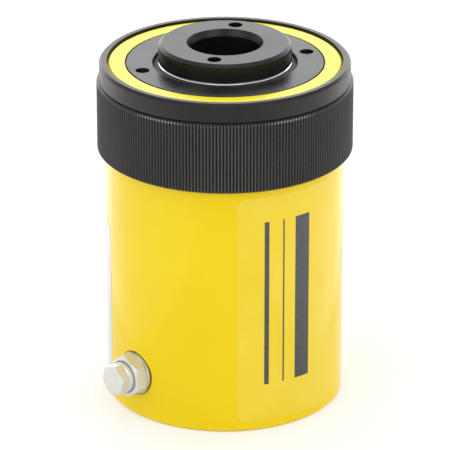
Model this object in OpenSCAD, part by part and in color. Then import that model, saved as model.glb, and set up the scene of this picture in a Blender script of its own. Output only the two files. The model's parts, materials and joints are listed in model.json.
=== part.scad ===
// Hollow plunger cylinder: single acting, spring return, with a hole right through it.
// Millimetres. The origin is the centre of the base's underside and +Z runs up the axis.
// Threads are drawn as plain diameters.

/* [Main sizes] */
// Diameter of the hole right through the cylinder
hole_d = 33.3; // [28:0.1:40]
// Wall of the fixed centre tube
tube_wall = 5.575; // [4.5:0.025:8]
// Wall of the plunger's rod
rod_wall = 9.225; // [8.5:0.025:14]
// Working stroke of the plunger
stroke = 63.5; // [40:0.5:100]
// Wall of the barrel round its bore
barrel_wall = 12.7; // [11.5:0.1:18]
// Thickness of the base below the pressure chamber
base_t = 27; // [23:0.5:35]
// Chamfer on the barrel's bottom edge
base_chamfer = 1; // [0.5:0.1:2]
// Chamfer on the barrel's top edge, inside the collar
top_chamfer = 1.25; // [0.5:0.05:2.5]

/* [Plunger] */
// Height of the piston head
piston_h = 26.5; // [26:0.5:40]
// Height of the stop hub above the piston head, which leaves room for the closed spring
hub_h = 24.5; // [24:0.5:35]
// Step from the rod's surface out to the hub's
hub_step = 4.25; // [3:0.05:7]
// Height of the piston head's land under its seal grooves
seal_land_h = 5; // [4:0.5:7]
// Height of a groove that holds a U-cup and its backup ring
seal_groove_h = 8; // [6:0.5:9]
// Depth of a seal groove
seal_depth = 6; // [4:0.1:7]
// Height of the backup ring beside a U-cup
backup_h = 2.2; // [1.5:0.1:3]
// Height of a piston bearing groove
bearing_h = 7; // [5:0.5:8]
// Depth of a bearing groove
bearing_depth = 2.5; // [1.5:0.1:3]
// Width of the slanted cut through a guide ring
bearing_cut = 2; // [1:0.1:4]
// Height of the piston head's land over its bearing grooves
bearing_land_h = 2.5; // [1.5:0.1:4]
// Relief under the rim of the piston head, where the oil enters
piston_relief = 2; // [1:0.5:3]
// Height of the rod that stands out of the stop ring when closed
rod_proud = 0.3; // [0.2:0.1:4]

/* [Return spring] */
// Diameter of the spring's wire
spring_wire_d = 5; // [3.5:0.1:5]
// Gap between the spring and the walls on both sides of it
spring_gap = 1.725; // [1:0.025:3]
// Coils, with one closed coil at each end
spring_coils = 4.75; // [3.5:0.25:4.75]

/* [Stop ring] */
// Height of the stop ring
stop_ring_h = 26.9; // [24.5:0.2:40]
// Step from the barrel's bore out to the stop ring's thread
stop_ring_step = 3.15; // [2:0.05:4]
// Height of the stop ring above the barrel's top face
stop_ring_proud = 0; // [0:0.1:4]
// Width of the groove that shows round the stop ring's top
stop_groove_w = 0.5; // [0.2:0.05:1.5]
// Depth of that groove
stop_groove_depth = 2; // [0.5:0.1:4]
// Radial width of the wiper's seat
wiper_w = 2.75; // [2.4:0.05:4]
// Depth of the wiper's seat
wiper_h = 6.4; // [5:0.1:8]
// Depth of the wiper's lip below the stop ring's top
wiper_drop = 0.8; // [0.4:0.1:2]
// Height of the rod bearing's groove above the stop ring's underside
rod_bearing_rise = 4; // [3:0.1:5]
// Height of the rod bearing's groove
rod_bearing_h = 14; // [10:0.5:15]
// Diameter of the pin-spanner holes in the stop ring and the saddle
spanner_hole_d = 6.8; // [4:0.1:7.4]
// Depth of the pin-spanner holes
spanner_hole_depth = 6; // [3:0.5:7]
// Turn of the stop ring's spanner holes from +X
stop_ring_turn = 18; // [0:1:90]
// Depth of the set screw below the barrel's top
set_screw_drop = 14; // [10:0.5:18]
// Diameter of the set screw that locks the stop ring
set_screw_d = 6; // [4:0.5:8]
// Length of the soft pellet under the set screw
pellet_l = 2.2; // [1:0.1:3]
// Turn of the set screw from +X
set_screw_turn = 40; // [0:1:90]

/* [Collar] */
// Height of the collar
collar_h = 44.2; // [34:0.2:60]
// Height of the collar's rim above the barrel's top face
collar_rise = 1; // [0:0.1:4]
// Depth of the collar's thread seat below the barrel's surface
collar_seat = 0.9; // [0.5:0.05:1.5]
// Wall of the collar under its smooth band
collar_wall = 3.65; // [3:0.05:6]
// Height of the smooth band over the knurl
band_h = 9.6; // [4:0.2:14]
// Chamfer on the outer edge of the collar's rim
rim_chamfer = 1.2; // [0.3:0.1:2]
// Height of the knurl's ridges above the smooth band
knurl_rise = 1.3; // [0.8:0.05:2]
// Depth of the knurl's grooves
knurl_depth = 0.6; // [0.3:0.05:0.7]
// Ridges round the knurl
knurl_count = 240; // [60:10:300]
// Chamfer on the ends of the knurl
knurl_chamfer = 0.9; // [0.3:0.1:1.5]

/* [Saddle] */
// Height of the saddle's head
saddle_h = 9.3; // [7:0.1:16]
// Length of the saddle's threaded stub
saddle_stub_l = 20; // [12:0.5:22]
// Step from the plunger's bore out to the saddle's thread
saddle_thread_step = 0.4; // [0.3:0.05:1]
// Width of the chamfer round the saddle's top
saddle_chamfer = 1.8; // [0.5:0.1:2.5]
// Height of that chamfer
saddle_chamfer_h = 1.2; // [0.4:0.1:2.5]
// Widening of the hole at the saddle's mouth
mouth_widening = 1.6; // [0.5:0.1:2.5]
// Depth of the saddle's tapered mouth
mouth_depth = 3.2; // [1:0.1:6]
// Turn of the saddle's spanner holes from +X
saddle_turn = 78; // [0:1:90]

/* [Centre tube] */
// Height of the tube's flange in the base
flange_h = 5; // [4:0.5:7]
// Step from the tube's surface out to the flange's
flange_step = 3.8; // [3:0.1:5]
// Thickness of the snap ring under the flange
snap_ring_t = 1.6; // [1:0.1:2]
// Radial width of the snap ring inside its groove
snap_ring_w = 1.8; // [1.5:0.1:2.5]
// Opening between the snap ring's ends, in degrees
snap_ring_gap = 40; // [30:1:60]
// Radius of the snap ring's lugs
lug_r = 2.2; // [1.8:0.1:2.4]
// Radius of the holes in the lugs
lug_hole_r = 0.9; // [0.6:0.1:1.1]
// Depth of the snap ring's groove
snap_ring_seat = 1.1; // [0.8:0.1:1.5]
// Height of the base's edge below the snap ring
snap_ring_edge = 1.4; // [1:0.1:2]
// Section of the O-ring between the tube and the base
o_ring_d = 3; // [2:0.1:3.6]
// Room between the tube's top end and the saddle's stub when closed
tube_end_gap = 4.6; // [2:0.2:10]

/* [Oil port] */
// Direction of the port, turned from +X
port_turn = 221; // [200:0.5:250]
// Depth of the port's centre below the chamber's floor
port_drop = 4.6; // [4:0.1:6]
// Gap round the sealing washer in the flat that is cut for it
spotface_gap = 0.8; // [0.2:0.1:3]
// Depth of that flat
spotface_depth = 1.5; // [1.4:0.05:2.5]
// Diameter of the port's thread
port_thread_d = 16.6; // [14:0.1:18]
// Wall between the port's thread and the barrel's bore
port_floor = 1.5; // [1:0.1:4]
// Diameter of the oil passages
passage_d = 6; // [3:0.5:7]
// Width across the flats of the adapter
adapter_af = 18.8; // [18.2:0.05:22]
// Length of the adapter's hex
adapter_l = 6.3; // [4.5:0.1:14]
// Diameter of the sealing washer under the adapter
bonded_seal_d = 20.6; // [20:0.1:28]
// Width of that washer's ring, from its bore to its rim
bonded_seal_w = 1.95; // [1.2:0.05:3]
// Thickness of that washer
bonded_seal_t = 2.2; // [1:0.1:3]
// Depth of the recess in the adapter's mouth
adapter_recess = 1.6; // [0.6:0.1:2]
// Gap round the plug's washer in that recess
recess_gap = 0.6; // [0.2:0.05:1.2]
// Width across the flats of the plug's head
plug_af = 14; // [13.6:0.1:15]
// Thickness of the plug's round flange
plug_flange_t = 3.3; // [2:0.1:5]
// Chamfer on that flange
plug_flange_chamfer = 1; // [0.3:0.1:1.5]
// Length of the plug's hex
plug_head_l = 4.5; // [3.5:0.1:10]
// Diameter of the plug's thread
plug_thread_d = 11.2; // [9:0.1:12]
// Length of the plug's thread
plug_thread_l = 9; // [6:0.1:14]
// Diameter of the plug's washer
plug_washer_d = 15; // [14.4:0.1:16]
// Thickness of the plug's washer
plug_washer_t = 1.2; // [0.8:0.1:2]
// Turn of the plug's hex about its own axis
plug_turn = 46; // [0:1:59]
// Turn of the adapter's hex about its own axis
adapter_turn = 7; // [0:1:59]

/* [Base bolts] */
// Distance of the base's bolt holes from the barrel's surface
bolt_inset = 11.05; // [10:0.05:14]
// Diameter of the base's bolt holes
bolt_hole_d = 8; // [5:0.1:10]
// Depth of the base's bolt holes
bolt_depth = 16; // [10:0.5:18]
// Turn of the bolt holes from +X
bolt_turn = 130; // [110:1:150]

/* [Fits] */
// Radial clearance of the running fits
run_clear = 0.05; // [0.02:0.01:0.1]
// Radial clearance of the seats and threads that stay put
seat_clear = 0.1; // [0.05:0.01:0.2]
// Radial clearance between moving metal pieces that a bearing keeps apart
metal_clear = 0.3; // [0.2:0.05:0.6]
// Small chamfer on turned edges
edge = 0.5; // [0.3:0.05:0.7]

/* [Hidden] */
$fn = 96;
// How far a cut runs past the face that it opens
cut_past = 1;

// Radii, from the hole outwards
hole_r = hole_d / 2;
tube_r = hole_r + tube_wall;
rod_bore_r = tube_r + metal_clear;
rod_r = rod_bore_r + rod_wall;
hub_r = rod_r + hub_step;
spring_r = hub_r + spring_gap + spring_wire_d / 2;
bore_r = hub_r + spring_wire_d + 2 * spring_gap;
piston_r = bore_r - metal_clear;
stop_bore_r = bore_r + stop_ring_step;
stop_ring_r = stop_bore_r - seat_clear;
gland_r = rod_r + metal_clear;
wiper_seat_r = rod_r + wiper_w;
body_r = bore_r + barrel_wall;
thread_r = body_r - collar_seat;
collar_bore_r = thread_r + run_clear;
band_r = collar_bore_r + collar_wall;
knurl_r = band_r + knurl_rise;
saddle_thread_r = rod_bore_r + saddle_thread_step;
stub_r = saddle_thread_r - run_clear;
flange_r = tube_r + flange_step;
flange_seat_r = flange_r + seat_clear;

// Heights, from the base upwards
piston_top = base_t + piston_h;
hub_top = piston_top + hub_h;
stop_seat_z = hub_top + stroke;
stop_top = stop_seat_z + stop_ring_h;
body_top = stop_top - stop_ring_proud;
collar_top = body_top + collar_rise;
collar_z = collar_top - collar_h;
knurl_top = collar_top - band_h;
rod_top = stop_top + rod_proud;
saddle_top = rod_top + saddle_h;
stub_z = rod_top - saddle_stub_l;
tube_top = stub_z - tube_end_gap;
flange_z = snap_ring_edge + snap_ring_t;
flange_top = flange_z + flange_h;
seal_z = base_t + seal_land_h;
bearing_z = piston_top - bearing_land_h - bearing_h;
rod_bearing_z = stop_seat_z + rod_bearing_rise;

// Static seal of the centre tube, halfway up its bore in the base
tube_seal_h = o_ring_d + backup_h + 4 * run_clear;
tube_seal_z = (flange_top + base_t - tube_seal_h) / 2;
tube_seal_r = tube_r + o_ring_d;

// Snap ring, with its lugs clear of the tube's end
snap_ring_r = flange_seat_r + snap_ring_seat - run_clear;
snap_ring_in = flange_seat_r - snap_ring_w;
spigot_r = snap_ring_in - 2 * lug_r;

// Oil port, measured outwards from the cylinder's axis
port_z = base_t - port_drop;
spotface_x = body_r - spotface_depth;
spotface_d = bonded_seal_d + 2 * spotface_gap;
seal_bore_r = bonded_seal_d / 2 - bonded_seal_w;
port_end_x = bore_r + port_floor;
passage_x = (hub_r + piston_r) / 2;
adapter_x = spotface_x + bonded_seal_t;
adapter_end_x = adapter_x + adapter_l;
washer_x = adapter_end_x - adapter_recess;
plug_x = washer_x + plug_washer_t;
port_thread_r = port_thread_d / 2;
plug_thread_r = plug_thread_d / 2;

// Locking screw of the stop ring
set_screw_z = body_top - set_screw_drop;
pellet_x = stop_bore_r + run_clear;
set_screw_x = pellet_x + pellet_l;
set_screw_l = thread_r - set_screw_x - 2 * edge;
set_screw_r = set_screw_d / 2 - run_clear;

// Return spring, closed and ground at both ends
spring_sides = 12;
rings_per_coil = 28;
spring_rings = round(spring_coils * rings_per_coil);
ground = 0.3 * spring_wire_d;
spring_len = stop_seat_z - piston_top;
closed_coils = 1;
open_coils = spring_coils - 2 * closed_coils;
open_pitch = (spring_len - 2 * ground - 2 * closed_coils * spring_wire_d) / open_coils;

function coil_z(turn) =
    ground + spring_wire_d * min(turn, closed_coils)
    + open_pitch * min(max(turn - closed_coils, 0), open_coils)
    + spring_wire_d * max(turn - closed_coils - open_coils, 0);

function coil_point(turn, side) =
    let (across = spring_r + spring_wire_d / 2 * cos(side))
    let (up = coil_z(turn) + spring_wire_d / 2 * sin(side))
    [across * cos(360 * turn), across * sin(360 * turn), up];

// Colours as the photograph shows them
yellow_paint = "#F5D310";
black_oxide = "#3A3B3D";
steel = "#8C9094";
chrome = "#D5D9DC";
zinc = "#C9C3B2";
rubber = "#1E1E1F";
nylon = "#D9D2BE";
bronze = "#A9803F";

// A ring of rectangular section
module ring(r_in, r_out, z, h) {
    rotate_extrude() translate([r_in, z]) square([r_out - r_in, h]);
}

// A guide ring, cut through on a slant so that it can be sprung into its groove
module split_ring(r_in, r_out, z, h, cut_w) {
    difference() {
        ring(r_in, r_out, z, h);
        translate([(r_in + r_out) / 2, 0, z + h / 2])
            rotate([40, 0, 0])
            cube([4 * (r_out - r_in), cut_w, 4 * h], center = true);
    }
}

// A U-cup seal with its lips down towards the oil
module u_cup(r_in, r_out, z, h) {
    lip = (r_out - r_in) / 4;
    rotate_extrude() polygon([
        [r_in, z + lip / 2],
        [r_in + lip / 2, z],
        [r_in + lip, z],
        [(r_in + r_out) / 2 - lip / 3, z + h * 0.55],
        [(r_in + r_out) / 2 + lip / 3, z + h * 0.55],
        [r_out - lip, z],
        [r_out - lip / 2, z],
        [r_out, z + lip / 2],
        [r_out, z + h],
        [r_in, z + h]
    ]);
}

// Two opposite pin-spanner holes cut down from a face
module spanner_holes(circle_r, face_z, turn) {
    for (side = [0, 180])
        rotate(turn + side)
            translate([circle_r, 0, face_z - spanner_hole_depth])
            cylinder(d = spanner_hole_d, h = spanner_hole_depth + cut_past);
}

// Lays a shape that stands on +Z out along the port's axis, at a distance from the cylinder's axis
module on_port(x) {
    rotate(port_turn) translate([x, 0, port_z]) rotate([0, 90, 0]) children();
}

// Lays a shape that stands on +Z out along the set screw's axis
module on_set_screw(x) {
    rotate(set_screw_turn) translate([x, 0, set_screw_z]) rotate([0, 90, 0]) children();
}

// A hex nut's outline with its corners turned off at one or both ends
module hex_head(across_flats, h) {
    corner_r = across_flats / 2 / cos(30);
    bevel = (corner_r - across_flats / 2) * 0.7;
    intersection() {
        cylinder(r = corner_r, h = h, $fn = 6);
        rotate_extrude() polygon([
            [0, 0],
            [across_flats / 2, 0],
            [corner_r + 0.1, bevel],
            [corner_r + 0.1, h - bevel],
            [across_flats / 2 - bevel / 2, h],
            [0, h]
        ]);
    }
}

module cylinder_body() {
    color(yellow_paint) difference() {
        rotate_extrude() polygon([
            [flange_seat_r, 0],
            [body_r - base_chamfer, 0],
            [body_r, base_chamfer],
            [body_r, collar_z],
            [thread_r, collar_z],
            [thread_r, body_top - top_chamfer],
            [thread_r - top_chamfer, body_top],
            [stop_bore_r + edge / 2, body_top],
            [stop_bore_r, body_top - edge / 2],
            [stop_bore_r, stop_seat_z],
            [bore_r, stop_seat_z],
            [bore_r, base_t],
            [tube_r + seat_clear, base_t],
            [tube_r + seat_clear, flange_top],
            [flange_seat_r, flange_top]
        ]);
        ring(flange_r, flange_seat_r + snap_ring_seat, snap_ring_edge, snap_ring_t);
        ring(tube_r, tube_seal_r, tube_seal_z, tube_seal_h);
        on_port(spotface_x) cylinder(d = spotface_d, h = spotface_depth + cut_past);
        on_port(port_end_x) cylinder(r = port_thread_r, h = spotface_x - port_end_x + cut_past);
        on_port(passage_x) cylinder(d = passage_d, h = port_end_x - passage_x + cut_past);
        rotate(port_turn) translate([passage_x, 0, port_z])
            cylinder(d = passage_d, h = port_drop + cut_past);
        for (side = [0, 180])
            rotate(bolt_turn + side)
                translate([body_r - bolt_inset, 0, -cut_past])
                cylinder(d = bolt_hole_d, h = bolt_depth + cut_past);
        on_set_screw(stop_bore_r - cut_past) cylinder(d = set_screw_d, h = barrel_wall + cut_past);
    }
}

module collar_ring() {
    root_r = knurl_r - knurl_depth;
    ridges = [
        for (i = [0 : 2 * knurl_count - 1])
            let (r = i % 2 == 0 ? knurl_r : root_r)
            let (a = i * 180 / knurl_count)
            [r * cos(a), r * sin(a)]
    ];
    color(black_oxide) union() {
        // Smooth wall with its band and rim
        rotate_extrude() polygon([
            [collar_bore_r + edge, collar_z],
            [band_r, collar_z],
            [band_r, knurl_top],
            [band_r - edge, knurl_top + edge / 2],
            [band_r, knurl_top + edge],
            [band_r, collar_top - rim_chamfer],
            [band_r - rim_chamfer, collar_top],
            [collar_bore_r + edge / 2, collar_top],
            [collar_bore_r, collar_top - edge / 2],
            [collar_bore_r, collar_z + edge]
        ]);
        // Straight knurl with its ends chamfered
        intersection() {
            translate([0, 0, collar_z]) linear_extrude(height = knurl_top - collar_z) difference() {
                polygon(ridges);
                circle(r = band_r - edge);
            }
            rotate_extrude() polygon([
                [band_r - 2 * edge, collar_z],
                [knurl_r - knurl_chamfer, collar_z],
                [knurl_r + edge, collar_z + knurl_chamfer + edge],
                [knurl_r + edge, knurl_top - knurl_chamfer - edge],
                [knurl_r - knurl_chamfer, knurl_top],
                [band_r - 2 * edge, knurl_top]
            ]);
        }
    }
}

module stop_ring() {
    groove_r = stop_ring_r - stop_groove_w;
    color(black_oxide) difference() {
        rotate_extrude() polygon([
            [gland_r + edge, stop_seat_z],
            [stop_ring_r - edge, stop_seat_z],
            [stop_ring_r, stop_seat_z + edge],
            [stop_ring_r, stop_top - stop_groove_depth],
            [groove_r, stop_top - stop_groove_depth],
            [groove_r, stop_top - edge / 2],
            [groove_r - edge / 2, stop_top],
            [wiper_seat_r + edge / 2, stop_top],
            [wiper_seat_r, stop_top - edge / 2],
            [wiper_seat_r, stop_top - wiper_h],
            [gland_r, stop_top - wiper_h],
            [gland_r, stop_seat_z + edge]
        ]);
        ring(rod_r, rod_r + bearing_depth, rod_bearing_z, rod_bearing_h);
        spanner_holes((wiper_seat_r + stop_ring_r) / 2, stop_top, stop_ring_turn);
    }
}

module stop_ring_set_screw() {
    color(black_oxide) on_set_screw(set_screw_x) difference() {
        cylinder(r = set_screw_r, h = set_screw_l);
        translate([0, 0, set_screw_l / 2]) cylinder(r = set_screw_r / 2, h = set_screw_l, $fn = 6);
    }
}

module set_screw_pellet() {
    color(nylon) intersection() {
        on_set_screw(stop_ring_r - cut_past)
            cylinder(r = set_screw_r, h = set_screw_x - stop_ring_r + cut_past);
        ring(pellet_x, body_r, set_screw_z - set_screw_d, 2 * set_screw_d);
    }
}

module rod_wiper() {
    seat_z = stop_top - wiper_h;
    lip_z = stop_top - wiper_drop;
    lip_r = rod_r + run_clear;
    color(rubber) rotate_extrude() polygon([
        [lip_r + wiper_w / 4, seat_z],
        [wiper_seat_r - run_clear, seat_z],
        [wiper_seat_r - run_clear, lip_z - 2 * edge],
        [lip_r + wiper_w / 2, lip_z - edge],
        [lip_r + edge, lip_z],
        [lip_r, lip_z - edge / 2],
        [lip_r + wiper_w / 4, seat_z + wiper_h / 2]
    ]);
}

module rod_bearing() {
    groove_r = rod_r + bearing_depth;
    color(bronze) split_ring(rod_r + run_clear, groove_r - run_clear, rod_bearing_z + run_clear,
        rod_bearing_h - 2 * run_clear, bearing_cut);
}

module plunger() {
    color(chrome) difference() {
        rotate_extrude() polygon([
            [rod_bore_r, base_t],
            [hub_r, base_t],
            [hub_r, base_t + piston_relief],
            [piston_r - edge, base_t + piston_relief],
            [piston_r, base_t + piston_relief + edge],
            [piston_r, piston_top - edge],
            [piston_r - edge, piston_top],
            [hub_r, piston_top],
            [hub_r, hub_top - edge],
            [hub_r - edge, hub_top],
            [rod_r, hub_top],
            [rod_r, rod_top - edge],
            [rod_r - edge, rod_top],
            [saddle_thread_r + edge, rod_top],
            [saddle_thread_r, rod_top - edge],
            [saddle_thread_r, stub_z - edge],
            [rod_bore_r, stub_z - edge - saddle_thread_step]
        ]);
        ring(bore_r - seal_depth, bore_r, seal_z, seal_groove_h);
        ring(bore_r - bearing_depth, bore_r, bearing_z, bearing_h);
        ring(tube_r, tube_r + seal_depth, seal_z, seal_groove_h);
        ring(tube_r, tube_r + bearing_depth, bearing_z, bearing_h);
    }
}

module saddle() {
    head_r = rod_r;
    top_r = head_r - saddle_chamfer;
    mouth_r = hole_r + mouth_widening;
    color(black_oxide) difference() {
        rotate_extrude() polygon([
            [hole_r + edge, stub_z],
            [stub_r - edge, stub_z],
            [stub_r, stub_z + edge],
            [stub_r, rod_top],
            [head_r - edge, rod_top],
            [head_r, rod_top + edge],
            [head_r, saddle_top - saddle_chamfer_h],
            [top_r, saddle_top],
            [mouth_r, saddle_top],
            [hole_r, saddle_top - mouth_depth],
            [hole_r, stub_z + edge]
        ]);
        spanner_holes((mouth_r + top_r) / 2, saddle_top, saddle_turn);
    }
}

module piston_bearing() {
    color(bronze) split_ring(bore_r - bearing_depth + run_clear, bore_r - run_clear,
        bearing_z + run_clear, bearing_h - 2 * run_clear, bearing_cut);
}

module piston_u_cup() {
    color(rubber) u_cup(bore_r - seal_depth + run_clear, bore_r - run_clear, seal_z + run_clear,
        seal_groove_h - backup_h - 2 * run_clear);
}

module piston_backup_ring() {
    color(nylon) ring(bore_r - seal_depth + run_clear, bore_r - run_clear,
        seal_z + seal_groove_h - backup_h, backup_h - run_clear);
}

module inner_bearing() {
    color(bronze) split_ring(tube_r + run_clear, tube_r + bearing_depth - run_clear,
        bearing_z + run_clear, bearing_h - 2 * run_clear, bearing_cut);
}

module inner_u_cup() {
    color(rubber) u_cup(tube_r + run_clear, tube_r + seal_depth - run_clear, seal_z + run_clear,
        seal_groove_h - backup_h - 2 * run_clear);
}

module inner_backup_ring() {
    color(nylon) ring(tube_r + run_clear, tube_r + seal_depth - run_clear,
        seal_z + seal_groove_h - backup_h, backup_h - run_clear);
}

module return_spring() {
    points = [
        for (i = [0 : spring_rings])
            for (j = [0 : spring_sides - 1])
                coil_point(i * spring_coils / spring_rings, j * 360 / spring_sides)
    ];
    walls = [
        for (i = [0 : spring_rings - 1])
            for (j = [0 : spring_sides - 1])
                let (k = (j + 1) % spring_sides)
                let (a = i * spring_sides)
                let (b = a + spring_sides)
                [a + j, a + k, b + k, b + j]
    ];
    first_end = [for (j = [0 : spring_sides - 1]) spring_sides - 1 - j];
    last_end = [for (j = [0 : spring_sides - 1]) spring_rings * spring_sides + j];
    color(steel) translate([0, 0, piston_top]) intersection() {
        polyhedron(points, concat([first_end], walls, [last_end]), convexity = 10);
        ring(hub_r, bore_r, 0, spring_len);
    }
}

module centre_tube() {
    color(steel) rotate_extrude() polygon([
        [hole_r + edge, edge],
        [spigot_r, edge],
        [spigot_r, flange_z],
        [flange_r, flange_z],
        [flange_r, flange_top],
        [tube_r, flange_top],
        [tube_r, tube_top - 2 * edge],
        [tube_r - 2 * edge, tube_top],
        [hole_r + edge, tube_top],
        [hole_r, tube_top - edge],
        [hole_r, 2 * edge]
    ]);
}

module tube_o_ring() {
    section_r = o_ring_d / 2 - run_clear;
    color(rubber) rotate_extrude()
        translate([tube_r + o_ring_d / 2, tube_seal_z + run_clear + section_r])
        circle(r = section_r);
}

module tube_backup_ring() {
    color(nylon) ring(tube_r + run_clear, tube_seal_r - run_clear,
        tube_seal_z + o_ring_d + run_clear, backup_h);
}

module tube_retaining_ring() {
    lug_turn = snap_ring_gap / 2 + asin(lug_r / snap_ring_in);
    color(steel) difference() {
        union() {
            rotate(snap_ring_gap / 2) rotate_extrude(angle = 360 - snap_ring_gap)
                translate([snap_ring_in, snap_ring_edge])
                square([snap_ring_r - snap_ring_in, snap_ring_t]);
            for (side = [-1, 1])
                rotate(side * lug_turn) translate([snap_ring_in, 0, snap_ring_edge])
                    cylinder(r = lug_r, h = snap_ring_t);
        }
        for (side = [-1, 1])
            rotate(side * lug_turn) translate([snap_ring_in - lug_r / 3, 0, 0])
                cylinder(r = lug_hole_r, h = flange_z);
    }
}

module port_adapter() {
    shank_x = port_end_x + edge;
    core_r = min(port_thread_r, seal_bore_r) - 2 * seat_clear;
    washer_seat_r = plug_washer_d / 2 + recess_gap;
    color(zinc) difference() {
        union() {
            on_port(adapter_x) rotate(adapter_turn) hex_head(adapter_af, adapter_l);
            on_port(shank_x) cylinder(r = core_r, h = adapter_x - shank_x + edge);
            on_port(shank_x) cylinder(r = port_thread_r - seat_clear, h = spotface_x - shank_x);
            // Neck that centres the sealing washer
            on_port(spotface_x) cylinder(r = seal_bore_r - seat_clear, h = bonded_seal_t + edge);
        }
        on_port(shank_x - cut_past)
            cylinder(d = passage_d, h = adapter_x - shank_x + adapter_l + cut_past);
        on_port(plug_x - plug_washer_t - plug_thread_l)
            cylinder(r = plug_thread_r + run_clear, h = plug_thread_l + adapter_l);
        on_port(washer_x) cylinder(r = washer_seat_r, h = adapter_recess + cut_past);
    }
}

module port_bonded_seal() {
    color(zinc) on_port(spotface_x)
        ring(seal_bore_r, bonded_seal_d / 2, 0, bonded_seal_t);
}

module plug_washer() {
    color(zinc) on_port(washer_x)
        ring(plug_thread_r + run_clear, plug_washer_d / 2, 0, plug_washer_t);
}

module port_plug() {
    flange_edge_r = plug_washer_d / 2;
    color(zinc) union() {
        on_port(plug_x + plug_flange_t) rotate(plug_turn) hex_head(plug_af, plug_head_l);
        on_port(plug_x) rotate_extrude() polygon([
            [0, 0],
            [flange_edge_r, 0],
            [flange_edge_r, plug_flange_t - plug_flange_chamfer],
            [flange_edge_r - plug_flange_chamfer, plug_flange_t],
            [0, plug_flange_t]
        ]);
        on_port(plug_x - plug_thread_l)
            cylinder(r = plug_thread_r, h = plug_thread_l + plug_flange_t + edge);
    }
}

cylinder_body();
collar_ring();
stop_ring();
stop_ring_set_screw();
set_screw_pellet();
rod_wiper();
rod_bearing();
plunger();
saddle();
piston_bearing();
piston_u_cup();
piston_backup_ring();
inner_bearing();
inner_u_cup();
inner_backup_ring();
return_spring();
centre_tube();
tube_o_ring();
tube_backup_ring();
tube_retaining_ring();
port_adapter();
port_bonded_seal();
plug_washer();
port_plug();
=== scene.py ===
# %% [markdown]
# # A hollow plunger cylinder, dressed for its photograph
# The cylinder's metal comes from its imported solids, and this lesson gives it paint, plating and light.
# Threads, the coil spring and the stickers are modelled here. Everything is in metres, with the origin at
# the centre of the base and +Z up the cylinder's axis, so a new piece goes where the solids say it does.

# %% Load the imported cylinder
import json
import math

import bpy
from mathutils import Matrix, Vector


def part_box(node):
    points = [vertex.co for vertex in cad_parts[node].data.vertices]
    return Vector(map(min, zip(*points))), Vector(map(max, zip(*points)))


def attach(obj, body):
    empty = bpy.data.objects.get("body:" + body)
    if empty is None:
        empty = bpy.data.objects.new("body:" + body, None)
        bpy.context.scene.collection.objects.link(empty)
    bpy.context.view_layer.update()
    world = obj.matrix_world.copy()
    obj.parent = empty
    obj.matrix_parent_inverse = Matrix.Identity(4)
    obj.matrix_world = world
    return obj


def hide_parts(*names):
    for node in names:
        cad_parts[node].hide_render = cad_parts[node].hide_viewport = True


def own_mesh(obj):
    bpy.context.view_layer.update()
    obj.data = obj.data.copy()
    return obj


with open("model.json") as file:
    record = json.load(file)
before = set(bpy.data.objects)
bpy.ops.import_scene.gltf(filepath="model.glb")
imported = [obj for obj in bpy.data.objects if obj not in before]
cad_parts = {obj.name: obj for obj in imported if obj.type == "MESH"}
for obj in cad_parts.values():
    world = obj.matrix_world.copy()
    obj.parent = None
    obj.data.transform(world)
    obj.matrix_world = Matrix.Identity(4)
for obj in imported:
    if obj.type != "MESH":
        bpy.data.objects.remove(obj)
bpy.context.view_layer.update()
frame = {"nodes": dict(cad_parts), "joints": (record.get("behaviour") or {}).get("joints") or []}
nodes = frame["nodes"]
joints = {joint["name"]: joint for joint in frame["joints"]}
scene = bpy.context.scene
MM = 0.001

# %% [markdown]
# ## Sizes that the rest is measured from
# A piece that sits on the metal takes its place from the metal. The boxes of a few solids give the barrel's
# radius, the collar's shoulder and the like. A size that no box shows, such as a thread's core, is typed
# where it is used.

# %% Read the sizes from the solids
BARREL_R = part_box("cylinder_body")[1].x
BARREL_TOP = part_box("cylinder_body")[1].z
COLLAR_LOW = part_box("collar_ring")[0].z
STOP_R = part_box("stop_ring")[1].y
PISTON_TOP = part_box("return_spring")[0].z
STOP_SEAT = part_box("return_spring")[1].z
ROD_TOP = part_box("plunger")[1].z
STUB_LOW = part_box("saddle")[0].z
port_axis = Vector(joints["plug_spin"]["axis"]).normalized()
port_point = Vector(joints["plug_spin"]["pos_m"])
print("barrel radius", round(BARREL_R, 5), "collar from", round(COLLAR_LOW, 4), "rod top", round(ROD_TOP, 4))

# %% [markdown]
# ## The camera
# The photograph was taken with a long lens, from the front and about 23 degrees above. A long lens far away
# keeps the barrel's sides nearly parallel, so the distance and the lens are set together.

# %% Set up the camera
PHOTO_PX = 450
FOCAL_PX = 3828
EYE_DISTANCE = 1.85
EYE_RISE = math.radians(22.96)
EYE_TARGET = Vector((0, 0, 0.090))
AIM = Vector((0, 0, 0.0836))
SENSOR_MM = 36

camera_data = bpy.data.cameras.new("photo_camera")
camera_data.sensor_width = SENSOR_MM
camera_data.lens = SENSOR_MM * FOCAL_PX / PHOTO_PX
camera = bpy.data.objects.new("photo_camera", camera_data)
scene.collection.objects.link(camera)
camera.location = EYE_TARGET + EYE_DISTANCE * Vector((0, -math.cos(EYE_RISE), math.sin(EYE_RISE)))
camera.rotation_euler = (AIM - camera.location).to_track_quat("-Z", "Y").to_euler()
scene.camera = camera
print("lens", round(camera_data.lens, 1), "mm")

# %% [markdown]
# ## Nodes in few words
# A material is a tree of nodes. Adding one node and linking its inputs takes several lines each time, so
# small helpers do it: a socket gets a number, a colour, or the output of another node.

# %% Helpers for nodes
NOISE_LOW = 0.3
NOISE_HIGH = 0.7
MIX_FIRST = 6
MIX_SECOND = 7
MIX_RESULT = 2


def connect(tree, socket, value):
    """Fills one socket, with a link if the value is an output of another node."""
    if isinstance(value, bpy.types.NodeSocket):
        tree.links.new(value, socket)
    else:
        socket.default_value = value


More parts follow.
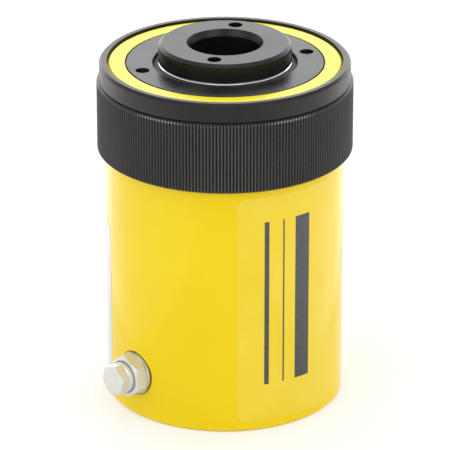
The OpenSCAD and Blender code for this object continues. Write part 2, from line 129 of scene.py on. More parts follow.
def put(tree, kind, sockets=None, **settings):
    """Adds a node, sets its options, and fills its sockets with values or with links."""
    node = tree.nodes.new(kind)
    for option, value in settings.items():
        setattr(node, option, value)
    for key, value in (sockets or {}).items():
        connect(tree, node.inputs[key], value)
    return node


def calc(tree, operation, first, second=0.0, third=0.0):
    """One sum on numbers."""
    return put(tree, "ShaderNodeMath", {0: first, 1: second, 2: third}, operation=operation).outputs[0]


def noise(tree, where, scale, detail=2.0, rough=0.5):
    """Soft random grey, at so many blotches to the metre."""
    sockets = {"Vector": where, "Scale": scale, "Detail": detail, "Roughness": rough}
    return put(tree, "ShaderNodeTexNoise", sockets).outputs["Fac"]


def ramp(tree, value, start, end, low=0.0, high=1.0):
    """Takes the range from start to end to the range from low to high, and stays there beyond."""
    sockets = {"Value": value, "From Min": start, "From Max": end, "To Min": low, "To Max": high}
    return put(tree, "ShaderNodeMapRange", sockets).outputs["Result"]


def spread(tree, value, low=0.0, high=1.0):
    """Takes the greys that noise mostly gives to the range from low to high."""
    return ramp(tree, value, NOISE_LOW, NOISE_HIGH, low, high)


def dot(tree, where, direction):
    """How far a point lies along a direction."""
    node = put(tree, "ShaderNodeVectorMath", {0: where, 1: direction}, operation="DOT_PRODUCT")
    return node.outputs["Value"]


def mix_colours(tree, share, first, second):
    """A colour between two others. The Mix node has a set of sockets for each kind of data."""
    node = put(tree, "ShaderNodeMix", {"Factor": share}, data_type="RGBA")
    connect(tree, node.inputs[MIX_FIRST], first)
    connect(tree, node.inputs[MIX_SECOND], second)
    return node.outputs[MIX_RESULT]


def new_material(name):
    """An empty material with one Principled shader, its tree and its place on the object."""
    material = bpy.data.materials.new(name)
    material.use_nodes = True
    tree = material.node_tree
    tree.nodes.clear()
    shader = put(tree, "ShaderNodeBsdfPrincipled")
    output = put(tree, "ShaderNodeOutputMaterial")
    tree.links.new(shader.outputs["BSDF"], output.inputs["Surface"])
    where = put(tree, "ShaderNodeTexCoord").outputs["Object"]
    return material, tree, shader, where


def fill(tree, shader, **sockets):
    """Fills the shader's sockets, with underscores for the spaces in their names."""
    for key, value in sockets.items():
        connect(tree, shader.inputs[key.replace("_", " ")], value)


def bump(tree, height, distance, strength=1.0):
    """Turns a grey pattern into a relief of that depth in metres."""
    sockets = {"Height": height, "Distance": distance, "Strength": strength}
    return put(tree, "ShaderNodeBump", sockets).outputs["Normal"]


print("node helpers ready")

# %% [markdown]
# ## The studio: floor, walls of light and the world
# The photograph is a catalogue shot on white. Black steel shows what stands round it: its top faces mirror
# the bright wall behind the cylinder, and its front mirrors the floor. So there is a broad light behind, one
# on each side, one overhead and a softer pair in front. Three lamps show only in mirrors and light nothing:
# a part of the one behind, which would bleach the paint at the back, and two flat tables on the floor, which
# make the edges of the barrel and the collar paler. The two side walls do the reverse, so that the zinc
# doesn't burn out. All lamps stay out of the camera's sight, and a white glow for camera rays lifts the
# floor to white while it keeps its shadow. Far from the lamps the glow is stronger, so the floor meets the
# white world without an edge.

# %% Floor and world
FLOOR_HALF = 6.0
FLOOR_DROP = 0.02 * MM
FLOOR_GREY = (0.66, 0.66, 0.66, 1)
FLOOR_GLOW_NEAR = 0.36
FLOOR_GLOW_FAR = 0.53
NEAR_ENDS = 0.5
FAR_STARTS = 2.5
WORLD_FILL = 0.74


def seen_directly(tree):
    """1 for rays from the camera, from a mirror or through glass, and 0 for the rest."""
    path = put(tree, "ShaderNodeLightPath")
    seen = calc(tree, "MAXIMUM", path.outputs["Is Camera Ray"], path.outputs["Is Glossy Ray"])
    return calc(tree, "MAXIMUM", seen, path.outputs["Is Transmission Ray"])


floor_material, tree, shader, where = new_material("studio_floor")
fill(tree, shader, Base_Color=FLOOR_GREY, Roughness=0.9, Specular_IOR_Level=0.1)
fill(tree, shader, Emission_Color=(1, 1, 1, 1))
far = put(tree, "ShaderNodeVectorMath", {0: where}, operation="LENGTH").outputs["Value"]
glow = ramp(tree, far, NEAR_ENDS, FAR_STARTS, FLOOR_GLOW_NEAR, FLOOR_GLOW_FAR)
fill(tree, shader, Emission_Strength=calc(tree, "MULTIPLY", seen_directly(tree), glow))
bpy.ops.object.select_all(action="DESELECT")
bpy.ops.mesh.primitive_plane_add(size=2 * FLOOR_HALF, location=(0, 0, -FLOOR_DROP))
floor = bpy.context.object
floor.name = "studio_floor"
floor.data.materials.append(floor_material)

world = bpy.data.worlds.new("studio_world")
scene.world = world
world.use_nodes = True
tree = world.node_tree
tree.nodes.clear()
share = seen_directly(tree)
strength = calc(tree, "MULTIPLY_ADD", share, 1.0 - WORLD_FILL, WORLD_FILL)
sky = put(tree, "ShaderNodeBackground", {"Color": (1, 1, 1, 1), "Strength": strength})
output = put(tree, "ShaderNodeOutputWorld")
tree.links.new(sky.outputs["Background"], output.inputs["Surface"])
scene.view_settings.view_transform = "Standard"
print("floor and world ready")

# %% Lamps
MIDDLE = Vector((0, 0, 0.1))
UP = Vector((0, 0, 1))


def softbox(name, place, width, height, glow, lights=True, mirrored=True, facing=MIDDLE):
    """A flat lamp that faces a point. Its glow is how bright its face looks, with 1 as white."""
    lamp = bpy.data.lights.new(name, "AREA")
    lamp.shape = "RECTANGLE"
    lamp.size = width
    lamp.size_y = height
    lamp.energy = glow * math.pi * width * height
    holder = bpy.data.objects.new(name, lamp)
    scene.collection.objects.link(holder)
    holder.location = place
    holder.rotation_euler = (Vector(facing) - Vector(place)).to_track_quat("-Z", "Y").to_euler()
    holder.visible_camera = False
    holder.visible_diffuse = lights
    holder.visible_glossy = mirrored


softbox("back_wall", (0, 1.3, 0.62), width=2.6, height=1.1, glow=0.9)
softbox("back_sheen", (0, 1.33, 0.62), width=2.6, height=1.1, glow=0.7, lights=False)
softbox("overhead", (0, -0.1, 1.5), width=1.0, height=1.0, glow=0.62)
softbox("left_front", (-0.95, -1.2, 0.75), width=1.1, height=1.1, glow=1.4)
softbox("right_front", (0.95, -1.2, 0.75), width=1.1, height=1.1, glow=1.4)
softbox("left_wall", (-1.5, 0.55, 0.45), width=1.2, height=0.9, glow=1.2, mirrored=False)
softbox("right_wall", (1.5, 0.55, 0.45), width=1.2, height=0.9, glow=1.3, mirrored=False)
for name, x in (("left_table", -0.33), ("right_table", 0.33)):
    place = Vector((x, 0, 0.002))
    softbox(name, place, width=0.4, height=0.6, glow=0.7, lights=False, facing=place + UP)
print("lamps ready")

# %% [markdown]
# ## Yellow enamel
# The barrel is sprayed with a gloss enamel. Sprayed paint isn't flat: it dries with a fine orange peel, and
# its colour drifts a little from place to place. The bore, the bolt holes, the collar's thread and the
# underside aren't painted, so the same material turns to machined steel there, by the distance from the axis
# and the height. A lathe leaves rings on such steel, so its pattern is one of distance from the axis plus
# height: on a flat face that draws circles, and on a wall it draws lines round the wall. Near the top, in the
# gaps round the stop ring and under the collar, the bare steel is painted near-black and without shine, as
# painted shade. The top face and its chamfer are painted a lighter, more lemon yellow than the wall, as
# painted light on the face that looks up.

# %% Yellow enamel
PAINT = (0.92, 0.655, 0.003, 1)
PAINT_PALE = (0.94, 0.69, 0.005, 1)
# Painted light: a lighter, more lemon yellow for the face that looks up.
PAINT_LIT_TOP = (0.91, 0.81, 0.012, 1)
BARE_STEEL = (0.38, 0.38, 0.39, 1)
TOOLED_STEEL = (0.27, 0.27, 0.28, 1)
# Painted shade: near-black steel for the gaps at the top of the barrel.
GAP_SHADE_STEEL = (0.020, 0.018, 0.015, 1)
GAP_SHADE_BAND = 3 * MM
PAINT_IOR = 1.30
PEEL_DEPTH = 0.02 * MM
STEEL_ROUGHER = 0.17
SEAT_MARGIN = 0.12 * MM
THREAD_MARGIN = 0.4 * MM
EDGE_MARGIN = 0.1 * MM
BASE_MARGIN = 0.05 * MM
LEAD_CHAMFER = 1.35 * MM
BOLT_CIRCLE_R = 46.1 * MM
BOLT_TURN = math.radians(130)
TAPPED_R = 4.6 * MM
TAPPED_DEEP = 20 * MM


def axis_distance(tree, where):
    """How far a point lies from the cylinder's axis."""
    flat = put(tree, "ShaderNodeVectorMath", {0: where, 1: (1, 1, 0)}, operation="MULTIPLY")
    return put(tree, "ShaderNodeVectorMath", {0: flat.outputs[0]}, operation="LENGTH").outputs["Value"]


def height_of(tree, where):
    """How high a point lies above the base."""
    return put(tree, "ShaderNodeSeparateXYZ", {"Vector": where}).outputs["Z"]


def lathe_rings(tree, where, per_metre, detail=2.0):
    """Random rings round the axis, on flats and walls alike."""
    along = calc(tree, "ADD", axis_distance(tree, where), height_of(tree, where))
    sockets = {"W": along, "Scale": per_metre, "Detail": detail}
    return put(tree, "ShaderNodeTexNoise", sockets, noise_dimensions="1D").outputs["Fac"]


def tapped(tree, where):
    """1 in the two bolt holes of the base, and 0 on the rest."""
    towards = (math.cos(BOLT_TURN), math.sin(BOLT_TURN), 0)
    beside = (-math.sin(BOLT_TURN), math.cos(BOLT_TURN), 0)
    aside = dot(tree, where, beside)
    out = calc(tree, "SUBTRACT", calc(tree, "ABSOLUTE", dot(tree, where, towards)), BOLT_CIRCLE_R)
    squared = calc(tree, "MULTIPLY_ADD", out, out, calc(tree, "MULTIPLY", aside, aside))
    near = calc(tree, "LESS_THAN", squared, TAPPED_R ** 2)
    return calc(tree, "MULTIPLY", near, calc(tree, "LESS_THAN", height_of(tree, where), TAPPED_DEEP))


def unpainted(tree, where):
    """1 in the bore and the bolt holes, on the collar's thread and under the base, and 0 on the paint."""
    across = axis_distance(tree, where)
    up = height_of(tree, where)
    bore = calc(tree, "LESS_THAN", across, STOP_R + SEAT_MARGIN)
    thread = calc(tree, "LESS_THAN", across, BARREL_R - THREAD_MARGIN)
    thread = calc(tree, "MULTIPLY", thread, calc(tree, "GREATER_THAN", up, COLLAR_LOW - EDGE_MARGIN))
    thread = calc(tree, "MULTIPLY", thread, calc(tree, "LESS_THAN", up, BARREL_TOP - LEAD_CHAMFER))
    underside = calc(tree, "LESS_THAN", up, BASE_MARGIN)
    holes = calc(tree, "MAXIMUM", bore, tapped(tree, where))
    return calc(tree, "MAXIMUM", calc(tree, "MAXIMUM", holes, thread), underside)


yellow, tree, shader, where = new_material("yellow_enamel")
bare = unpainted(tree, where)
# Painted shade: bare steel in the top few millimetres, round the stop ring and under the collar, turns
# near-black and loses its shine.
gap_shade = calc(tree, "GREATER_THAN", height_of(tree, where), BARREL_TOP - GAP_SHADE_BAND)
steel = mix_colours(tree, spread(tree, lathe_rings(tree, where, 1100)), BARE_STEEL, TOOLED_STEEL)
steel = mix_colours(tree, gap_shade, steel, GAP_SHADE_STEEL)
shine = calc(tree, "MULTIPLY", bare, calc(tree, "SUBTRACT", 1.0, gap_shade))
drift = noise(tree, where, 22, 3)
paint = mix_colours(tree, spread(tree, drift), PAINT, PAINT_PALE)
# Painted light: the top face and its chamfer take a lighter, more lemon yellow than the wall.
lit_top = calc(tree, "GREATER_THAN", height_of(tree, where), BARREL_TOP - LEAD_CHAMFER)
paint = mix_colours(tree, lit_top, paint, PAINT_LIT_TOP)
peel = calc(tree, "ADD", noise(tree, where, 620, 2), noise(tree, where, 1900, 1))
fill(tree, shader, Base_Color=mix_colours(tree, bare, paint, steel), Metallic=shine)
gloss = spread(tree, noise(tree, where, 90), 0.13, 0.19)
fill(tree, shader, Roughness=calc(tree, "MULTIPLY_ADD", shine, STEEL_ROUGHER, gloss), IOR=PAINT_IOR)
fill(tree, shader, Normal=bump(tree, peel, PEEL_DEPTH, 0.25))
print("yellow enamel ready")

# %% [markdown]
# ## Black oxide over turned steel
# The collar, stop ring and saddle are turned on a lathe too, and then blackened, so they take the same
# rings, only finer. A thin film of oil gives the black its sheen. The knurl's crests are a little greyer than
# the grooves, by their distance from the axis. The ridges' upper ends carry a painted highlight, brightest in
# bands to the left and right, at the front and at the back, and faint elsewhere round the collar.

# %% Black oxide
BLACK = (0.004, 0.004, 0.0043, 1)
BLACK_WORN = (0.010, 0.0097, 0.0095, 1)
BLACK_FACED = (0.030, 0.030, 0.029, 1)
CREST_GREY = (0.086, 0.084, 0.079, 1)
# Grey of the painted highlight on the upper ends of the knurl's ridges.
TIP_HIGHLIGHT = (0.34, 0.33, 0.31, 1)
KNURL_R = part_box("collar_ring")[1].x
KNURL_DEPTH = 0.6 * MM
BAND_HEIGHT = 9.6 * MM
KNURL_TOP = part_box("collar_ring")[1].z - BAND_HEIGHT
CREST_DEPTH = 0.45 * KNURL_DEPTH
TIP_LENGTH = 1.5 * MM
TIP_DEPTH = 0.3 * MM
# Where that painted highlight falls: bands to the left and right of the axis, faint elsewhere.
HIGHLIGHT_OUT = 0.5 * KNURL_R
HIGHLIGHT_FULL = 0.08 * KNURL_R
HIGHLIGHT_ENDS = 0.2 * KNURL_R
HIGHLIGHT_ELSEWHERE = 0.15
WARM_SHEEN = (1.0, 0.95, 0.88, 1)


def crests(tree, where):
    """0 in the knurl's grooves and up to the band, and 1 on the ridges' crests."""
    return ramp(tree, axis_distance(tree, where), KNURL_R - CREST_DEPTH, KNURL_R)


def painted_tip_highlight(tree, where):
    """Painted highlight: 1 on the ridges' upper ends in bands to the left and right, a little on the rest of
    them, and 0 below.
    """
    end = calc(tree, "GREATER_THAN", height_of(tree, where), KNURL_TOP - TIP_LENGTH)
    ridge = calc(tree, "GREATER_THAN", axis_distance(tree, where), KNURL_R - TIP_DEPTH)
    aside = calc(tree, "ABSOLUTE", put(tree, "ShaderNodeSeparateXYZ", {"Vector": where}).outputs["X"])
    off_highlight = calc(tree, "ABSOLUTE", calc(tree, "SUBTRACT", aside, HIGHLIGHT_OUT))
    highlight_share = ramp(tree, off_highlight, HIGHLIGHT_FULL, HIGHLIGHT_ENDS, 1.0, HIGHLIGHT_ELSEWHERE)
    return calc(tree, "MULTIPLY", calc(tree, "MULTIPLY", end, ridge), highlight_share)


def black_oxide(name, worn, gloss, rough, ring_depth, tint=(1, 1, 1, 1)):
    """Black that drifts to its worn shade. Gloss is the oil film's index of refraction."""
    material, tree, shader, where = new_material(name)
    rings = lathe_rings(tree, where, 3200)
    cloud = noise(tree, where, 70, 4)
    colour = mix_colours(tree, spread(tree, cloud), BLACK, worn)
    colour = mix_colours(tree, crests(tree, where), colour, CREST_GREY)
    # Painted highlight on the ridges' upper ends.
    colour = mix_colours(tree, painted_tip_highlight(tree, where), colour, TIP_HIGHLIGHT)
    fill(tree, shader, Base_Color=colour, IOR=gloss, Specular_Tint=tint)
    halves = (calc(tree, "MULTIPLY", rings, 0.5), calc(tree, "MULTIPLY", cloud, 0.5))
    fill(tree, shader, Roughness=spread(tree, calc(tree, "ADD", *halves), *rough))
    fill(tree, shader, Normal=bump(tree, rings, ring_depth, 0.5))
    return material


turned_black = black_oxide("turned_black_oxide", BLACK_WORN,
                           gloss=1.33, rough=(0.22, 0.34), ring_depth=0.006 * MM)
faced_black = black_oxide("faced_black_oxide", BLACK_FACED,
                          gloss=1.40, rough=(0.26, 0.38), ring_depth=0.008 * MM)
knurl_black = black_oxide("knurled_black_oxide", BLACK_WORN,
                          gloss=1.38, rough=(0.24, 0.34), ring_depth=0.004 * MM, tint=WARM_SHEEN)
print("black oxide ready")

# %% [markdown]
# ## Plated and bare metals
# Hard chrome on the rod is ground, which leaves very fine rings, and then polished until it is nearly a
# mirror. The port's fittings are zinc plated: a softer shine, with faint straw-coloured clouds left by the
# passivating bath. The sealing washers are painted black and dull in a band at their foot, as painted shade
# with dirt in the seam, which draws a black line round the port. The inner pieces are plain turned steel,
# oiled spring steel and bearing bronze.

# %% Plated and bare metals
CHROME = (0.50, 0.505, 0.52, 1)
CHROME_LIGHT = (0.66, 0.67, 0.69, 1)
CHROME_ROUGH = (0.08, 0.16)
GRINDING_DEPTH = 0.002 * MM
ZINC = (0.70, 0.705, 0.71, 1)
ZINC_STRAW = (0.68, 0.66, 0.60, 1)
ZINC_MILK = 0.58
BRONZE = (0.46, 0.30, 0.12, 1)
BRONZE_DARK = (0.38, 0.24, 0.09, 1)
TUBE = (0.34, 0.34, 0.35, 1)
TUBE_DARK = (0.26, 0.26, 0.27, 1)
SPRING = (0.20, 0.20, 0.21, 1)
SPRING_DARK = (0.12, 0.12, 0.125, 1)
# Black of the painted shade, with dirt, in the washers' seam.
SEAM_SHADE_BLACK = (0.006, 0.006, 0.006, 1)
SEAM_SHADE_ROUGH = 0.52
WASHER_ROUGH = 0.30
WASHER_GRAIN = 0.004 * MM


def metal(name, colour, cloud_colour, rough, clouds=120, grain=900, grain_depth=0.004 * MM, bright=1.0):
    """A metal that drifts between two colours. Bright is 1 for bare metal and less under milky plating."""
    material, tree, shader, where = new_material(name)
    cloud = noise(tree, where, clouds, 3)
    fill(tree, shader, Base_Color=mix_colours(tree, spread(tree, cloud), colour, cloud_colour))
    fill(tree, shader, Metallic=bright, Roughness=spread(tree, noise(tree, where, grain, 2), *rough))
    fill(tree, shader, Normal=bump(tree, noise(tree, where, grain, 3), grain_depth, 0.5))
    return material


def sealing_washer(name, foot, shade_band):
    """A plated washer painted black and dull in a band at its foot, by the distance along the port's axis:
    painted shade with dirt in the seam.
    """
    material, tree, shader, where = new_material(name)
    plated = calc(tree, "GREATER_THAN", dot(tree, where, port_axis), foot + shade_band)
    cloud = spread(tree, noise(tree, where, 160, 3))
    plate = mix_colours(tree, cloud, ZINC, ZINC_STRAW)
    # Painted shade: the band at the foot is black, not plated.
    fill(tree, shader, Base_Color=mix_colours(tree, plated, SEAM_SHADE_BLACK, plate))
    fill(tree, shader, Metallic=calc(tree, "MULTIPLY", plated, ZINC_MILK))
    rough = calc(tree, "MULTIPLY_ADD", plated, WASHER_ROUGH - SEAM_SHADE_ROUGH, SEAM_SHADE_ROUGH)
    grain = bump(tree, noise(tree, where, 1400, 3), WASHER_GRAIN, 0.5)
    fill(tree, shader, Roughness=rough, Normal=grain)
    return material


chrome, tree, shader, where = new_material("hard_chrome")
grinding = lathe_rings(tree, where, 2600, 4)
plate = mix_colours(tree, spread(tree, grinding), CHROME, CHROME_LIGHT)
fill(tree, shader, Base_Color=plate, Metallic=1.0, Roughness=spread(tree, grinding, *CHROME_ROUGH))
fill(tree, shader, Normal=bump(tree, grinding, GRINDING_DEPTH, 0.5))
zinc = metal("zinc_plate", ZINC, ZINC_STRAW, (0.34, 0.46),
             clouds=160, grain=1400, grain_depth=0.003 * MM, bright=ZINC_MILK)
tube_steel = metal("turned_tube_steel", TUBE, TUBE_DARK, (0.28, 0.40))
spring_steel = metal("oiled_spring_steel", SPRING, SPRING_DARK, (0.30, 0.45))
bronze = metal("bearing_bronze", BRONZE, BRONZE_DARK, (0.30, 0.42))
PLUG_SEAT = port_point.dot(port_axis)
port_seal = sealing_washer("port_seal", foot=PLUG_SEAT - 8.1 * MM, shade_band=0.8 * MM)
plug_seal = sealing_washer("plug_seal", foot=PLUG_SEAT - 1.2 * MM, shade_band=0.4 * MM)
print("metals ready")

# %% [markdown]
# ## Rubber and nylon
# The wiper and the seals are moulded rubber with a dull, slightly dusty skin. Backup rings and the locking
# pellet are natural nylon, which is waxy and lets a little light in.

# %% Rubber and nylon
RUBBER = (0.016, 0.016, 0.017, 1)
RUBBER_DUSTY = (0.035, 0.035, 0.036, 1)
NYLON = (0.72, 0.67, 0.54, 1)
NYLON_DUSTY = (0.66, 0.60, 0.47, 1)
SKIN_DEPTH = 0.01 * MM


def moulded(name, colour, dusty, rough, grain):
    """A moulded skin with dust on it, and its tree and shader for what is added to it."""
    material, tree, shader, where = new_material(name)
    dust = noise(tree, where, 300, 3)
    fill(tree, shader, Base_Color=mix_colours(tree, spread(tree, dust), colour, dusty))
    fill(tree, shader, Roughness=spread(tree, dust, *rough))
    fill(tree, shader, Normal=bump(tree, noise(tree, where, grain, 2), SKIN_DEPTH, 0.5))
    return material, tree, shader


rubber, tree, shader = moulded("moulded_rubber", RUBBER, RUBBER_DUSTY, (0.49, 0.63), 2500)
nylon, tree, shader = moulded("natural_nylon", NYLON, NYLON_DUSTY, (0.36, 0.50), 1200)
fill(tree, shader, Subsurface_Weight=0.2, Subsurface_Scale=2 * MM)
print("rubber and nylon ready")

# %% [markdown]
# ## Dress the solids
# Each solid keeps its shape and gets its finish by name.

# %% Dress the solids
FINISHES = {
    yellow: ["cylinder_body"],
    knurl_black: ["collar_ring"],
    turned_black: ["saddle", "stop_ring_set_screw"],
    faced_black: ["stop_ring"],
    chrome: ["plunger"],
    zinc: ["port_adapter", "port_plug"],
    port_seal: ["port_bonded_seal"],
    plug_seal: ["plug_washer"],
    tube_steel: ["centre_tube"],
    spring_steel: ["return_spring", "tube_retaining_ring"],
    bronze: ["rod_bearing", "piston_bearing", "inner_bearing"],
    rubber: ["rod_wiper", "piston_u_cup", "inner_u_cup", "tube_o_ring"],
    nylon: ["piston_backup_ring", "inner_backup_ring", "tube_backup_ring", "set_screw_pellet"],
}
for finish, names in FINISHES.items():
    for name in names:
        node_materials = nodes[name].data.materials
        node_materials.clear()
        node_materials.append(finish)
print("dressed", sum(len(names) for names in FINISHES.values()), "nodes")

# %% [markdown]
# ## One object at a time
# A Blender operator works on what is selected. Each new piece starts with nothing selected, and is finished
# by joining it to the body that it moves with and to the finish that it takes.

# %% Helpers for new pieces
SMOOTH_BELOW = math.radians(35)


def select_only(piece):
    """Selects one object and makes it the active one."""
    bpy.ops.object.select_all(action="DESELECT")
    piece.select_set(True)
    bpy.context.view_layer.objects.active = piece


def apply_modifiers(piece):
    """Turns the piece's modifiers into plain mesh, in their order."""
    select_only(piece)
    for modifier in list(piece.modifiers):
        bpy.ops.object.modifier_apply(modifier=modifier.name)


def close_up(piece):
    """Closes open ends, turns the faces outwards and smooths all but the sharp edges."""
    select_only(piece)
    bpy.ops.object.mode_set(mode="EDIT")
    bpy.ops.mesh.select_all(action="SELECT")
    bpy.ops.mesh.remove_doubles(threshold=1e-7)
    bpy.ops.mesh.fill_holes(sides=0)
    bpy.ops.mesh.normals_make_consistent(inside=False)
    bpy.ops.object.mode_set(mode="OBJECT")
    bpy.ops.object.shade_smooth_by_angle(angle=SMOOTH_BELOW)


def dress(piece, finish, body):
    """Gives a finished piece its material and the body that carries it."""
    piece.data.materials.clear()
    piece.data.materials.append(finish)
    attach(piece, body)
    print(piece.name, "rides", body, "with", len(piece.data.polygons), "faces")


print("piece helpers ready")

# %% [markdown]
# ## Screw threads
# The solids draw every thread as a plain diameter. A thread is a ridge that climbs round an axis, so its
# section is drawn once, as a plane with one side narrowed to the crest, and the Screw modifier sweeps it. At
# both ends the ridge is sunk into its core over half a turn, as a die leaves it. The collar, the saddle and
# the plug all show their threads when they are screwed off.

# %% A helper that cuts a thread
RING_STEPS = 72
SECTION_POINTS = 4
FOOT_SHARE = 0.86
CREST_SHARE = 0.2
SINK_SHARE = 1.1
HAIR = 0.001 * MM


def thread_ridge(name, root_r, crest_r, low, high, pitch):
    """A helical ridge round the Z axis, from its root to its crest."""
    turns = int((high - low) / pitch) - 1
    bpy.ops.object.select_all(action="DESELECT")
    bpy.ops.mesh.primitive_plane_add(size=1, rotation=(math.pi / 2, 0, 0))
    ridge = bpy.context.object
    ridge.name = name
    bpy.ops.object.transform_apply(location=False, rotation=True, scale=False)
    bpy.ops.object.mode_set(mode="EDIT")
    bpy.ops.mesh.select_all(action="SELECT")
    bpy.ops.transform.resize(value=(crest_r - root_r, 1, FOOT_SHARE * pitch), center_override=(0, 0, 0))
    bpy.ops.transform.translate(value=((root_r + crest_r) / 2, 0, low + 0.5 * pitch))
    bpy.ops.mesh.select_all(action="DESELECT")
    bpy.ops.object.mode_set(mode="OBJECT")
    for vertex in ridge.data.vertices:
        vertex.select = abs(vertex.co.x - crest_r) < HAIR
    bpy.ops.object.mode_set(mode="EDIT")
    bpy.ops.transform.resize(value=(1, 1, CREST_SHARE), center_override=(0, 0, low + 0.5 * pitch))
    bpy.ops.mesh.select_all(action="SELECT")
    bpy.ops.mesh.delete(type="ONLY_FACE")
    bpy.ops.object.mode_set(mode="OBJECT")
    sweep = ridge.modifiers.new("sweep", "SCREW")
    sweep.axis = "Z"
    sweep.angle = math.tau
    sweep.screw_offset = pitch
    sweep.iterations = turns
    sweep.steps = RING_STEPS
    sweep.render_steps = RING_STEPS
    apply_modifiers(ridge)
    sink_ends(ridge, root_r, crest_r)
    close_up(ridge)
    return ridge


def sink_ends(ridge, root_r, crest_r):
    """Draws the first and the last half turn back into the core, a little more at each step."""
    last = len(ridge.data.vertices) // SECTION_POINTS - 1
    for vertex in ridge.data.vertices:
        step = vertex.index // SECTION_POINTS
        from_end = min(step, last - step)
        sunk = max(0.0, 1.0 - 2.0 * from_end / RING_STEPS)
        across = math.hypot(vertex.co.x, vertex.co.y)
        shrink = 1.0 - SINK_SHARE * sunk * (crest_r - root_r) / across
        vertex.co.x *= shrink
        vertex.co.y *= shrink


def lay_on_port(piece):
    """Moves a piece from the Z axis to the port's axis, with its zero at the plug's seat."""
    piece.location = port_point
    piece.rotation_euler = port_axis.to_track_quat("Z", "Y").to_euler()
    select_only(piece)
    bpy.ops.object.transform_apply(location=True, rotation=True, scale=True)


print("thread helper ready")

# %% Cut the threads
INCH = 25.4 * MM
COLLAR_PITCH = INCH / 12
SADDLE_PITCH = INCH / 16
PLUG_PITCH = INCH / 18
THREAD_HIGH = BARREL_TOP - 2.4 * MM
collar_thread = thread_ridge("collar_thread", root_r=56.2 * MM, crest_r=57.05 * MM,
                             low=COLLAR_LOW + 1.5 * MM, high=THREAD_HIGH, pitch=COLLAR_PITCH)
dress(collar_thread, tube_steel, "barrel")
collar_nut = thread_ridge("collar_inner_thread", root_r=56.35 * MM, crest_r=55.6 * MM,
                          low=COLLAR_LOW + 2.5 * MM, high=THREAD_HIGH, pitch=COLLAR_PITCH)
dress(collar_nut, turned_black, "collar")
stub_thread = thread_ridge("saddle_thread", root_r=22.85 * MM, crest_r=23.4 * MM,
                           low=STUB_LOW + 0.8 * MM, high=ROD_TOP - 1.5 * MM, pitch=SADDLE_PITCH)
dress(stub_thread, turned_black, "saddle")
rod_thread = thread_ridge("plunger_thread", root_r=22.95 * MM, crest_r=22.45 * MM,
                          low=STUB_LOW + 0.4 * MM, high=ROD_TOP - 0.6 * MM, pitch=SADDLE_PITCH)
dress(rod_thread, tube_steel, "plunger")
plug_thread = thread_ridge("plug_thread", root_r=5.58 * MM, crest_r=6.2 * MM,
                           low=-8.8 * MM, high=-0.8 * MM, pitch=PLUG_PITCH)
lay_on_port(plug_thread)
dress(plug_thread, zinc, "plug")

# %% [markdown]
# ## Tapped holes under the base
# Two bolts hold the cylinder to its fixture. Their holes are tapped, so each gets a ridge of its own, made on
# the axis and moved out to its place on the bolt circle.

# %% Tap the base
TAP_PITCH = INCH / 16
for number, turn in enumerate((BOLT_TURN, BOLT_TURN + math.pi)):
    tap = thread_ridge("base_tapping_%d" % number, root_r=4.05 * MM, crest_r=3.5 * MM,
                       low=0.6 * MM, high=15.6 * MM, pitch=TAP_PITCH)
    tap.location = (BOLT_CIRCLE_R * math.cos(turn), BOLT_CIRCLE_R * math.sin(turn), 0)
    select_only(tap)
    bpy.ops.object.transform_apply(location=True, rotation=True, scale=True)
    dress(tap, tube_steel, "barrel")

# %% [markdown]
# ## Return spring
# The spring is one wire wound round the plunger, with a closed coil at each end that is ground flat. A curve
# carries the wire: its points climb quickly in the open coils and slowly in the closed ones. As a mesh its
# ends are cut flat with bisect. The real spring flattens towards the stop ring as the plunger comes out; this
# coil keeps one length, and stands for the spring's solid, which is hidden.

# %% Wind the return spring
WIRE_D = 5.0 * MM
COIL_R = 40.225 * MM
COILS = 4.75
OPEN_COILS = COILS - 2
GROUND = 0.3 * WIRE_D
OPEN_PITCH = (STOP_SEAT - PISTON_TOP - 2 * GROUND - 2 * WIRE_D) / OPEN_COILS
POINTS_PER_COIL = 48


def coil_rise(turn):
    """How high the wire stands after so many turns."""
    closed = min(turn, 1) + max(turn - 1 - OPEN_COILS, 0)
    return GROUND + WIRE_D * closed + OPEN_PITCH * min(max(turn - 1, 0), OPEN_COILS)


wire = bpy.data.curves.new("return_coil", "CURVE")
wire.dimensions = "3D"
wire.bevel_depth = WIRE_D / 2
wire.bevel_resolution = 4
wire.use_fill_caps = True
path = wire.splines.new("POLY")
path.points.add(int(COILS * POINTS_PER_COIL))
for index, point in enumerate(path.points):
    turn = index / POINTS_PER_COIL
    angle = math.tau * turn
    point.co = (COIL_R * math.cos(angle), COIL_R * math.sin(angle), PISTON_TOP + coil_rise(turn), 1)
coil = bpy.data.objects.new("return_coil", wire)
scene.collection.objects.link(coil)
select_only(coil)
bpy.ops.object.convert(target="MESH")
coil = bpy.context.object
bpy.ops.object.mode_set(mode="EDIT")
for level, outwards in ((PISTON_TOP, -1), (STOP_SEAT, 1)):
    bpy.ops.mesh.select_all(action="SELECT")
    bpy.ops.mesh.bisect(plane_co=(0, 0, level), plane_no=(0, 0, outwards), clear_outer=True, use_fill=True)
bpy.ops.object.mode_set(mode="OBJECT")
close_up(coil)
dress(coil, spring_steel, "barrel")
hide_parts("return_spring")
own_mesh(coil)

# %% [markdown]
# ## Film, print and sticker
# A clear film with dark print lies on the right of the barrel, and a white sticker on its left. Each is drawn
# flat, as a plane with its corners rounded by a vertex bevel, cut into narrow columns by bisect and given its
# thickness by Solidify. Then it is rolled round the barrel: distance along the sheet becomes a turn about the
# axis. The paint shows through the film, so the film has the paint's colour, a little paler. The print is
# three plain stripes.

# %% A helper that rolls a sheet round the barrel
COLUMN = 1.4 * MM
CORNER_STEPS = 8


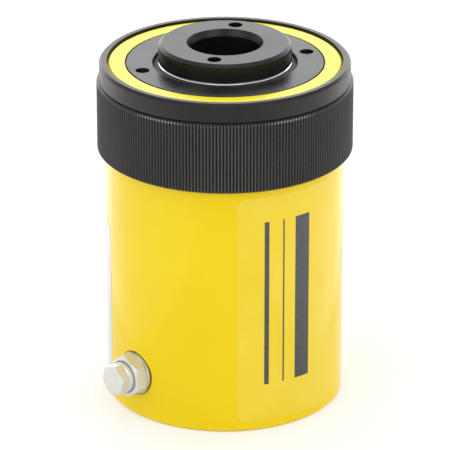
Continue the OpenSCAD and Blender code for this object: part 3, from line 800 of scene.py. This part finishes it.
def barrel_sheet(name, left_deg, right_deg, low, high, corner, lift, thickness):
    """A sheet on the barrel between two turns from the front, to the right as positive, and two heights."""
    left, right = (math.radians(turn) * BARREL_R for turn in (left_deg, right_deg))
    bpy.ops.object.select_all(action="DESELECT")
    bpy.ops.mesh.primitive_plane_add(size=1)
    sheet = bpy.context.object
    sheet.name = name
    bpy.ops.object.mode_set(mode="EDIT")
    bpy.ops.mesh.select_all(action="SELECT")
    bpy.ops.transform.resize(value=(right - left, high - low, 1), center_override=(0, 0, 0))
    bpy.ops.transform.translate(value=((left + right) / 2, (low + high) / 2, 0))
    bpy.ops.mesh.bevel(offset=corner, segments=CORNER_STEPS, affect="VERTICES")
    for column in range(1, int((right - left) / COLUMN) + 1):
        bpy.ops.mesh.select_all(action="SELECT")
        bpy.ops.mesh.bisect(plane_co=(left + column * COLUMN, 0, 0), plane_no=(1, 0, 0))
    bpy.ops.object.mode_set(mode="OBJECT")
    body = sheet.modifiers.new("body", "SOLIDIFY")
    body.thickness = thickness
    body.offset = 1
    apply_modifiers(sheet)
    for vertex in sheet.data.vertices:
        turn = vertex.co.x / BARREL_R
        across = BARREL_R + lift + vertex.co.z
        vertex.co = (across * math.sin(turn), -across * math.cos(turn), vertex.co.y)
    close_up(sheet)
    return sheet


print("sheet helper ready")

# %% Film, print and sticker finishes
FILM_YELLOW = (0.90, 0.655, 0.016, 1)
FILM_HAZE = (0.92, 0.70, 0.05, 1)
INK_DARK = (0.058, 0.059, 0.061, 1)
INK_GREY = (0.08, 0.08, 0.08, 1)
VINYL_WHITE = (0.76, 0.76, 0.75, 1)
VINYL_AGED = (0.72, 0.72, 0.71, 1)
RIPPLE_DEPTH = 0.02 * MM

film, tree, shader, where = new_material("clear_film")
haze = spread(tree, noise(tree, where, 35, 3))
fill(tree, shader, Base_Color=mix_colours(tree, haze, FILM_YELLOW, FILM_HAZE), IOR=1.38)
fill(tree, shader, Roughness=spread(tree, noise(tree, where, 60), 0.14, 0.24))
fill(tree, shader, Normal=bump(tree, noise(tree, where, 160, 2), RIPPLE_DEPTH, 0.4))
ink, tree, shader, where = new_material("printed_grey")
patch = spread(tree, noise(tree, where, 400, 3))
fill(tree, shader, Base_Color=mix_colours(tree, patch, INK_DARK, INK_GREY), IOR=1.4)
fill(tree, shader, Roughness=spread(tree, noise(tree, where, 300), 0.3, 0.4))
vinyl, tree, shader, where = new_material("white_vinyl")
patch = spread(tree, noise(tree, where, 90, 3))
fill(tree, shader, Base_Color=mix_colours(tree, patch, VINYL_WHITE, VINYL_AGED))
fill(tree, shader, Roughness=spread(tree, noise(tree, where, 200), 0.28, 0.38))
fill(tree, shader, Normal=bump(tree, noise(tree, where, 240, 2), RIPPLE_DEPTH, 0.4))
print("film, print and sticker finishes ready")

# %% Lay the film, its print and the sticker
SHEET_LIFT = 0.02 * MM
FILM_T = 0.08 * MM
PRINT_T = 0.03 * MM
PRINT_LIFT = SHEET_LIFT + FILM_T
film_sheet = barrel_sheet("clear_film", left_deg=5.6, right_deg=61, low=5 * MM, high=121 * MM,
                          corner=5 * MM, lift=SHEET_LIFT, thickness=FILM_T)
dress(film_sheet, film, "barrel")
sticker = barrel_sheet("white_sticker", left_deg=-131, right_deg=-73.7, low=10 * MM, high=89 * MM,
                       corner=3 * MM, lift=SHEET_LIFT, thickness=FILM_T)
dress(sticker, vinyl, "barrel")

STRIPES = [("slim", 19.0, 21.4), ("rule", 28.6, 29.4), ("broad", 35.5, 44.0)]
STRIPE_LOW = 24 * MM
STRIPE_HIGH = 108 * MM
for name, left, right in STRIPES:
    stripe = barrel_sheet("print_" + name, left, right, STRIPE_LOW, STRIPE_HIGH,
                          corner=0.3 * MM, lift=PRINT_LIFT, thickness=PRINT_T)
    dress(stripe, ink, "barrel")
